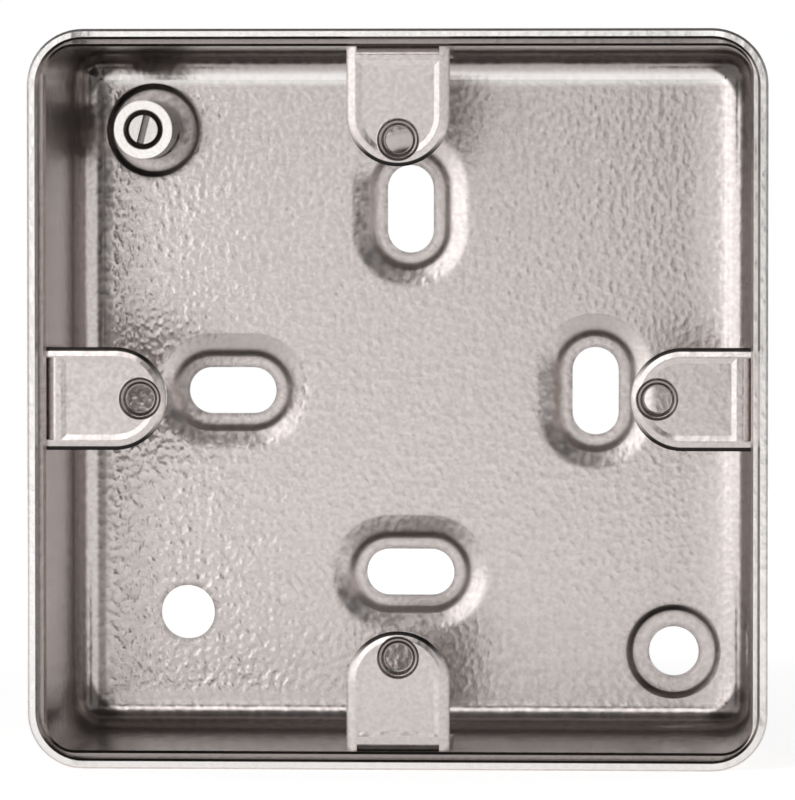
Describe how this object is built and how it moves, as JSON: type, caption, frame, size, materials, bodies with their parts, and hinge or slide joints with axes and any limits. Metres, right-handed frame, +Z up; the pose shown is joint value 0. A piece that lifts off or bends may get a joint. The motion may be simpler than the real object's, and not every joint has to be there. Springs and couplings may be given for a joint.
{
  "type": "surface mount back box",
  "caption": "Square pressed-steel surface mount back box with an open front, welded fixing lugs, slotted dimples in its base and an earth terminal, for a wiring accessory.",
  "frame": {"origin": "centre of the wall plane, where the back faces of the pressed pads bear on the wall", "axes": "+X right and +Z up as the open front is seen, +Y into the wall"},
  "size_m": [0.086, 0.038, 0.086],
  "materials": {
    "painted_steel": "stippled aluminium-grey paint, satin",
    "plated_metal": "bright plated"
  },
  "bodies": {
    "root": {"box_shell": "painted_steel", "lug_top": "painted_steel", "lug_right": "painted_steel", "lug_bottom": "painted_steel", "lug_left": "painted_steel", "earth_terminal": "plated_metal", "earth_screw": "plated_metal"}
  },
  "joints": []
}
